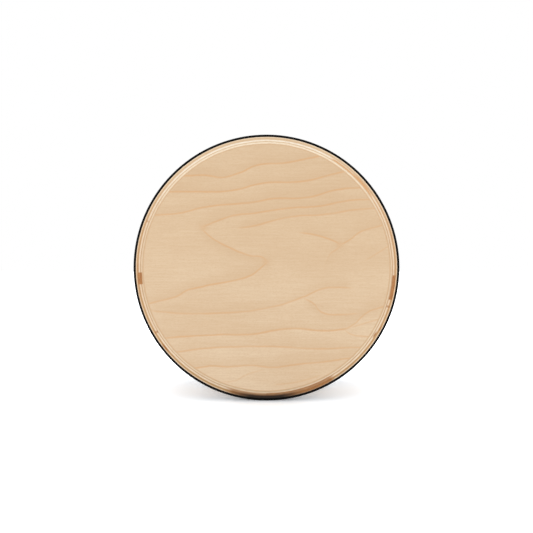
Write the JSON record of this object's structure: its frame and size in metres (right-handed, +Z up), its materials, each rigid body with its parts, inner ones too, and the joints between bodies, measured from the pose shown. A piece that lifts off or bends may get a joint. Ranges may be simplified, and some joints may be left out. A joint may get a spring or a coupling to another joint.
{
  "type": "bass drum",
  "caption": "Shallow bass drum with a plain plywood front plate, black wooden hoops, a claw-hook tensioned batter head, folding spurs and rubber rest feet.",
  "frame": {"origin": "on the floor, midway between the front of the plywood plate and the tips of the folded spurs, under the drum's axis", "axes": "+Z up, +Y along the drum's axis from the front plate to the batter head, +X to the right as seen from the front"},
  "size_m": [0.471, 0.242, 0.432],
  "materials": {
    "birch_plate": "satin clear lacquer on birch plywood",
    "shell_birch": "satin clear lacquer on birch plywood",
    "black_hoop": "satin black lacquer",
    "head_film": "coated white film",
    "patch": "woven patch",
    "rubber": "moulded black rubber",
    "liner_plastic": "matte",
    "aluminium": "brushed",
    "brass": "polished",
    "chrome": "polished",
    "zinc_steel": "zinc plated"
  },
  "bodies": {
    "drum": {"front_plate": "birch_plate", "shell": "shell_birch", "front_glue_ring": "shell_birch", "rear_glue_ring": "shell_birch", "front_hoop": "black_hoop", "batter_hoop": "black_hoop", "batter_head": "head_film", "beater_patch": "patch", "pedal_pad": "rubber", "rest_foot_right": "rubber", "rest_foot_left": "rubber", "claw_liners": "liner_plastic", "lug_gaskets": "liner_plastic", "spur_gaskets": "liner_plastic", "head_rim": "aluminium", "lug_nuts": "brass", "air_vent_grommet": "brass", "air_vent_washer": "brass", "badge_plate": "brass", "spur_bracket_right": "chrome", "spur_bracket_left": "chrome", "claw_1": "chrome", "claw_2": "chrome", "claw_3": "chrome", "claw_4": "chrome", "claw_5": "chrome", "claw_6": "chrome", "lug_1": "chrome", "lug_2": "chrome", "lug_3": "chrome", "lug_4": "chrome", "lug_5": "chrome", "lug_6": "chrome", "front_plate_screws": "zinc_steel", "lug_screws": "zinc_steel", "lug_washers": "zinc_steel", "spur_screws": "zinc_steel", "foot_screws": "zinc_steel", "spur_pivot_pin_right": "zinc_steel", "spur_pivot_pin_left": "zinc_steel"},
    "tension_rod_1": {"tension_rod_1": "chrome"},
    "tension_rod_2": {"tension_rod_2": "chrome"},
    "tension_rod_3": {"tension_rod_3": "chrome"},
    "tension_rod_4": {"tension_rod_4": "chrome"},
    "tension_rod_5": {"tension_rod_5": "chrome"},
    "tension_rod_6": {"tension_rod_6": "chrome"},
    "spur_right": {"spur_socket_right": "chrome"},
    "spur_leg_right": {"spur_leg_right": "chrome"},
    "spur_tip_right": {"spur_tip_right": "rubber"},
    "spur_key_bolt_right": {"spur_key_bolt_right": "zinc_steel"},
    "spur_left": {"spur_socket_left": "chrome"},
    "spur_leg_left": {"spur_leg_left": "chrome"},
    "spur_tip_left": {"spur_tip_left": "rubber"},
    "spur_key_bolt_left": {"spur_key_bolt_left": "zinc_steel"}
  },
  "joints": [
    {"name": "tension_rod_1_turn", "type": "hinge", "parent": "drum", "child": "tension_rod_1", "pos_m": [0.227, 0.0862, 0.216], "axis": [0, 1, 0], "continuous": true},
    {"name": "tension_rod_2_turn", "type": "hinge", "parent": "drum", "child": "tension_rod_2", "pos_m": [0.1135, 0.0862, 0.41259], "axis": [0, 1, 0], "continuous": true},
    {"name": "tension_rod_3_turn", "type": "hinge", "parent": "drum", "child": "tension_rod_3", "pos_m": [-0.1135, 0.0862, 0.41259], "axis": [0, 1, 0], "continuous": true},
    {"name": "tension_rod_4_turn", "type": "hinge", "parent": "drum", "child": "tension_rod_4", "pos_m": [-0.227, 0.0862, 0.216], "axis": [0, 1, 0], "continuous": true},
    {"name": "tension_rod_5_turn", "type": "hinge", "parent": "drum", "child": "tension_rod_5", "pos_m": [-0.1135, 0.0862, 0.01941], "axis": [0, 1, 0], "continuous": true},
    {"name": "tension_rod_6_turn", "type": "hinge", "parent": "drum", "child": "tension_rod_6", "pos_m": [0.1135, 0.0862, 0.01941], "axis": [0, 1, 0], "continuous": true},
    {"name": "spur_right_fold", "type": "hinge", "parent": "drum", "child": "spur_right", "pos_m": [0.19399, 0.003, 0.104], "axis": [-0.9848, 0, -0.1736], "range_deg": [0, 110]},
    {"name": "spur_leg_right_slide", "type": "slide", "parent": "spur_right", "child": "spur_leg_right", "axis": [0, 1, 0], "range_m": [0, 0.012]},
    {"name": "spur_tip_right_slide", "type": "slide", "parent": "spur_leg_right", "child": "spur_tip_right", "axis": [0, -1, 0], "range_m": [0, 0.008]},
    {"name": "spur_key_bolt_right_turn", "type": "hinge", "parent": "spur_right", "child": "spur_key_bolt_right", "pos_m": [0.19399, 0.003, 0.104], "axis": [0.9848, 0, 0.1736], "continuous": true},
    {"name": "spur_left_fold", "type": "hinge", "parent": "drum", "child": "spur_left", "pos_m": [-0.19399, 0.003, 0.104], "axis": [-0.9848, 0, 0.1736], "range_deg": [0, 110]},
    {"name": "spur_leg_left_slide", "type": "slide", "parent": "spur_left", "child": "spur_leg_left", "axis": [0, 1, 0], "range_m": [0, 0.012]},
    {"name": "spur_tip_left_slide", "type": "slide", "parent": "spur_leg_left", "child": "spur_tip_left", "axis": [0, -1, 0], "range_m": [0, 0.008]},
    {"name": "spur_key_bolt_left_turn", "type": "hinge", "parent": "spur_left", "child": "spur_key_bolt_left", "pos_m": [-0.19399, 0.003, 0.104], "axis": [-0.9848, 0, 0.1736], "continuous": true}
  ]
}
